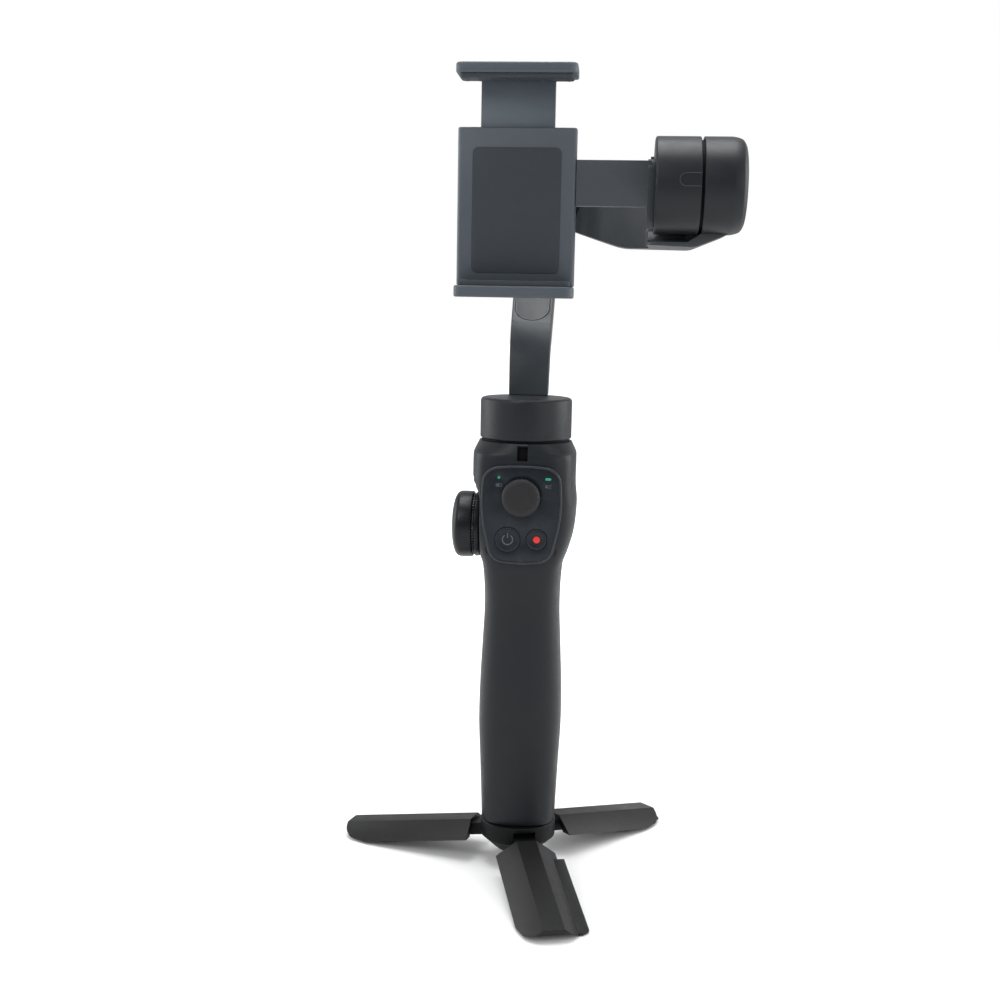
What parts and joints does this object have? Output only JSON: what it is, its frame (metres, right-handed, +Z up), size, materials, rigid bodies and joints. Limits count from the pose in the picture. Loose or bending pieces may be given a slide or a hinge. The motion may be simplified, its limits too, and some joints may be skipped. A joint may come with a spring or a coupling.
{
  "type": "handheld phone camera gimbal",
  "caption": "Handheld three-axis stabiliser for a phone camera: spring clamp on tilt, roll and pan motors over a battery grip with joystick, standing on a folding mini tripod.",
  "frame": {"origin": "on the ground, on the pan motor's axis, with the tripod open", "axes": "+Z up along the pan axis, +Y away from the control side, +X towards the tilt motor"},
  "size_m": [0.1475, 0.1394, 0.2957],
  "materials": {
    "grip_shell": "soft-touch slate grey",
    "grip_rear": "soft-touch slate grey",
    "steel": "zinc-plated",
    "panel": "satin dark navy grey",
    "lights": "clear light guides, green",
    "board": "green solder mask",
    "black_plastic": "moulded black",
    "stick": "dark rubber",
    "keys": "satin dark grey with printed marks",
    "wheel": "near black, shiny knurled groove",
    "cell": "shrink sleeve",
    "brass": "turned",
    "motor_case": "soft-touch slate grey",
    "arms": "soft-touch slate grey",
    "magnets": "nickel plated",
    "copper": "enamelled copper windings on steel",
    "jaws": "blue grey",
    "jaw_pads": "ribbed rubber",
    "tripod_plastic": "dark neutral grey, fine texture",
    "feet": "black rubber"
  },
  "bodies": {
    "handle": {"grip_front_shell": "grip_shell", "grip_rear_shell": "grip_rear", "shell_screws": "steel", "control_panel": "panel", "indicator_lights": "lights", "main_circuit_board": "board", "key_switches": "black_plastic", "joystick_module": "black_plastic", "wheel_encoder": "black_plastic", "battery_cell": "cell", "battery_cradle": "black_plastic", "tripod_socket": "brass", "charging_socket": "steel", "pan_bearing_post": "motor_case", "pan_bearings": "steel", "pan_stator": "copper", "tripod_hub": "tripod_plastic", "tripod_stud": "steel", "leg_pins": "steel"},
    "upright": {"pan_cup": "motor_case", "pan_magnet_ring": "magnets", "pan_shaft": "steel", "upright_arm": "arms", "upright_arm_cover": "arms", "roll_housing": "motor_case", "roll_stator": "copper", "roll_bearing_post": "motor_case", "roll_bearings": "steel"},
    "swing": {"roll_cap": "motor_case", "roll_magnet_ring": "magnets", "roll_shaft": "steel", "roll_arm": "arms", "tilt_outer_housing": "motor_case", "tilt_stator": "copper", "tilt_bearing_post": "motor_case", "tilt_bearings": "steel"},
    "clamp": {"tilt_inner_housing": "motor_case", "tilt_magnet_ring": "magnets", "tilt_shaft": "steel", "clamp_bracket": "arms", "clamp_back": "jaws", "lower_jaw": "jaws", "lower_jaw_pad": "jaw_pads", "clamp_guide_rods": "steel", "clamp_springs": "steel"},
    "jaw": {"upper_jaw": "jaws", "upper_jaw_pad": "jaw_pads"},
    "stick_ring": {"joystick_ring": "steel"},
    "stick": {"joystick_cap": "stick"},
    "power_key": {"power_key": "keys"},
    "record_key": {"record_key": "keys"},
    "wheel": {"zoom_wheel": "wheel"},
    "leg_front": {"leg_front": "tripod_plastic", "foot_pad_front": "feet"},
    "leg_right": {"leg_right": "tripod_plastic", "foot_pad_right": "feet"},
    "leg_left": {"leg_left": "tripod_plastic", "foot_pad_left": "feet"}
  },
  "joints": [
    {"name": "pan", "type": "hinge", "parent": "handle", "child": "upright", "pos_m": [0, 0, 0.1641], "axis": [0, 0, 1], "range_deg": [-165, 165]},
    {"name": "roll", "type": "hinge", "parent": "upright", "child": "swing", "pos_m": [0, 0.0566, 0.256], "axis": [0, 1, 0], "range_deg": [-200, 12]},
    {"name": "tilt", "type": "hinge", "parent": "swing", "child": "clamp", "pos_m": [0.0603, 0, 0.256], "axis": [1, 0, 0], "range_deg": [-100, 100]},
    {"name": "jaw_slide", "type": "slide", "parent": "clamp", "child": "jaw", "axis": [0, 0, 1], "range_m": [-0.012, 0.018], "stiffness_N_per_m": 120, "deforming": ["clamp_springs"]},
    {"name": "stick_pitch", "type": "hinge", "parent": "handle", "child": "stick_ring", "pos_m": [0, -0.0143, 0.1446], "axis": [1, 0, 0], "range_deg": [-12, 12], "stiffness_Nm_per_rad": 0.02},
    {"name": "stick_yaw", "type": "hinge", "parent": "stick_ring", "child": "stick", "pos_m": [0, -0.0143, 0.1446], "axis": [0, 0, 1], "range_deg": [-12, 12], "stiffness_Nm_per_rad": 0.02},
    {"name": "power_press", "type": "slide", "parent": "handle", "child": "power_key", "axis": [0, 1, 0], "range_m": [0, 0.0005], "stiffness_N_per_m": 2000},
    {"name": "record_press", "type": "slide", "parent": "handle", "child": "record_key", "axis": [0, 1, 0], "range_m": [0, 0.0005], "stiffness_N_per_m": 2000},
    {"name": "wheel_turn", "type": "hinge", "parent": "handle", "child": "wheel", "pos_m": [-0.0154, 0, 0.1311], "axis": [1, 0, 0], "continuous": true},
    {"name": "leg_front_fold", "type": "hinge", "parent": "handle", "child": "leg_front", "pos_m": [0.00218, -0.00873, 0.012], "axis": [0.9703, 0.2419, 0], "range_deg": [0, 80]},
    {"name": "leg_right_fold", "type": "hinge", "parent": "handle", "child": "leg_right", "pos_m": [0.00647, 0.00625, 0.012], "axis": [-0.6947, 0.7193, 0], "range_deg": [0, 80]},
    {"name": "leg_left_fold", "type": "hinge", "parent": "handle", "child": "leg_left", "pos_m": [-0.00865, 0.00248, 0.012], "axis": [-0.2756, -0.9613, 0], "range_deg": [0, 80]}
  ]
}
